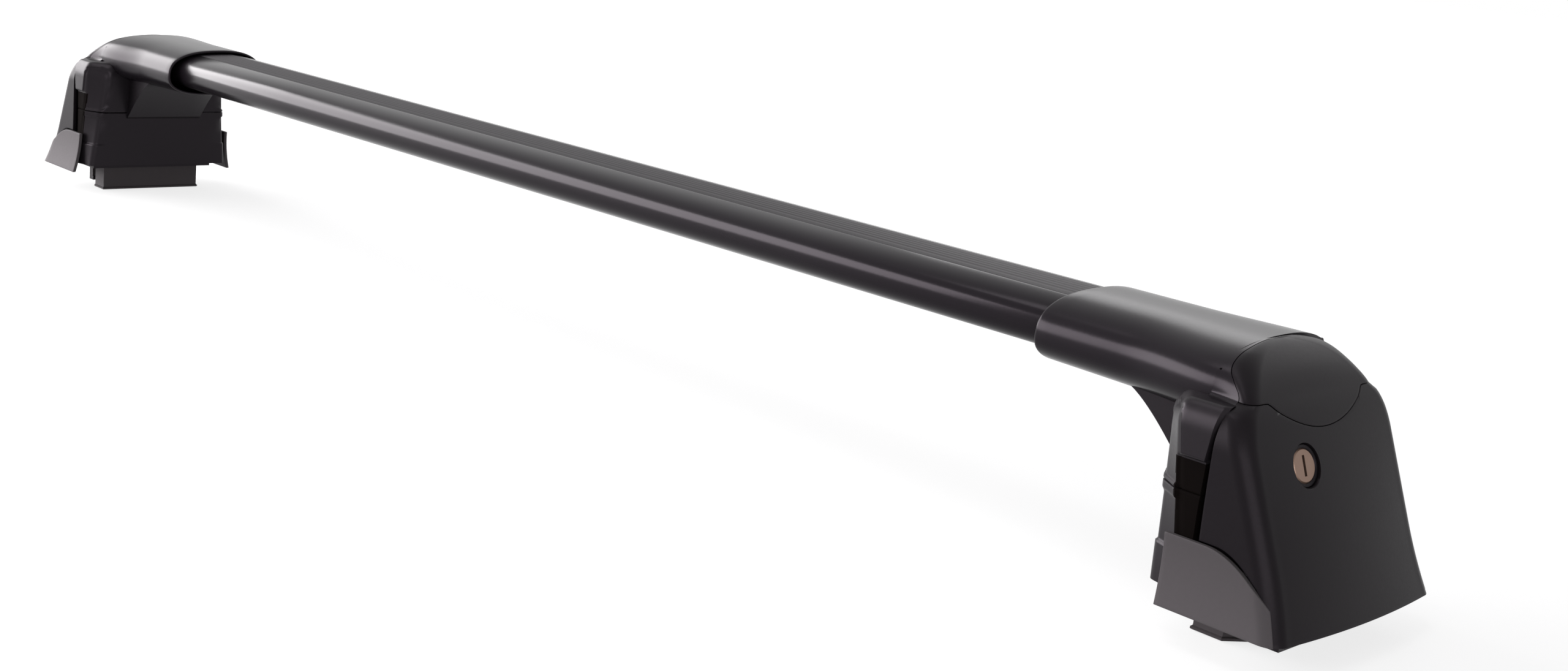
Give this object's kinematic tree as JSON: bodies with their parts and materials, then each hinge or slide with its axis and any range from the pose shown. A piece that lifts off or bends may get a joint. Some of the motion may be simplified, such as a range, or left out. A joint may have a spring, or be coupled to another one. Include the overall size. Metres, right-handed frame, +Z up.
{
  "type": "roof rack crossbar",
  "caption": "Black aerofoil roof rack crossbar carried by clamp feet with lockable end covers, rubber skirts, rubber rests and screw-driven rail jaws.",
  "frame": {"origin": "centre of the crossbar's length, at the underside of the rubber rests", "axes": "+X along the bar to the right foot, -Y to the rounded nose of the bar, +Z up"},
  "size_m": [1.162, 0.1358, 0.1258],
  "materials": {
    "bar_aluminium": "satin black anodised",
    "strip_rubber": "smooth matt",
    "body_plastic": "satin moulded",
    "cover_plastic": "satin moulded",
    "grey_rubber": "matt",
    "lock_brass": "brushed",
    "plain_steel": "zinc plated",
    "cast_aluminium": "as cast"
  },
  "bodies": {
    "rack": {"crossbar": "bar_aluminium", "slot_strip": "strip_rubber", "right_arm": "body_plastic", "right_housing": "body_plastic", "right_hood": "cover_plastic", "right_front_skirt": "grey_rubber", "right_rear_skirt": "grey_rubber", "right_rest_pad": "grey_rubber", "right_base_plate": "plain_steel", "right_support": "cast_aluminium", "right_clamp_nut": "plain_steel", "right_bar_bolts": "plain_steel", "right_nut_plate": "plain_steel", "right_housing_screws": "plain_steel", "right_bar_plug": "body_plastic", "left_arm": "body_plastic", "left_housing": "body_plastic", "left_hood": "cover_plastic", "left_front_skirt": "grey_rubber", "left_rear_skirt": "grey_rubber", "left_rest_pad": "grey_rubber", "left_base_plate": "plain_steel", "left_support": "cast_aluminium", "left_clamp_nut": "plain_steel", "left_bar_bolts": "plain_steel", "left_nut_plate": "plain_steel", "left_housing_screws": "plain_steel", "left_bar_plug": "body_plastic"},
    "right_cover": {"right_end_cover": "cover_plastic", "right_lock_barrel": "cover_plastic"},
    "right_lock": {"right_lock_core": "lock_brass", "right_lock_cam": "plain_steel"},
    "right_jaw": {"right_clamp_jaw": "plain_steel", "right_jaw_liner": "grey_rubber", "right_clamp_washer": "plain_steel"},
    "right_bolt": {"right_clamp_bolt": "plain_steel"},
    "left_cover": {"left_end_cover": "cover_plastic", "left_lock_barrel": "cover_plastic"},
    "left_lock": {"left_lock_core": "lock_brass", "left_lock_cam": "plain_steel"},
    "left_jaw": {"left_clamp_jaw": "plain_steel", "left_jaw_liner": "grey_rubber", "left_clamp_washer": "plain_steel"},
    "left_bolt": {"left_clamp_bolt": "plain_steel"}
  },
  "joints": [
    {"name": "right_cover_pull", "type": "slide", "parent": "rack", "child": "right_cover", "axis": [1, 0, 0], "range_m": [0, 0.07]},
    {"name": "right_lock_turn", "type": "hinge", "parent": "right_cover", "child": "right_lock", "pos_m": [0.55405, -0.021, 0.0805], "axis": [0.9217, -0.0806, 0.3794], "range_deg": [0, 90]},
    {"name": "right_jaw_slide", "type": "slide", "parent": "rack", "child": "right_jaw", "axis": [-1, 0, 0], "range_m": [0, 0.008]},
    {"name": "right_bolt_turn", "type": "hinge", "parent": "right_jaw", "child": "right_bolt", "pos_m": [0.558, 0, 0.034], "axis": [-1, 0, 0], "range_deg": [0, 2880]},
    {"name": "left_cover_pull", "type": "slide", "parent": "rack", "child": "left_cover", "axis": [-1, 0, 0], "range_m": [0, 0.07]},
    {"name": "left_lock_turn", "type": "hinge", "parent": "left_cover", "child": "left_lock", "pos_m": [-0.55405, -0.021, 0.0805], "axis": [0.9217, 0.0806, -0.3794], "range_deg": [0, 90]},
    {"name": "left_jaw_slide", "type": "slide", "parent": "rack", "child": "left_jaw", "axis": [1, 0, 0], "range_m": [0, 0.008]},
    {"name": "left_bolt_turn", "type": "hinge", "parent": "left_jaw", "child": "left_bolt", "pos_m": [-0.558, 0, 0.034], "axis": [1, 0, 0], "range_deg": [0, 2880]}
  ],
  "couplings": [
    {"joint": "right_bolt_turn", "follows": "right_jaw_slide", "rad_per_m": 6283.2},
    {"joint": "left_bolt_turn", "follows": "left_jaw_slide", "rad_per_m": 6283.2}
  ]
}
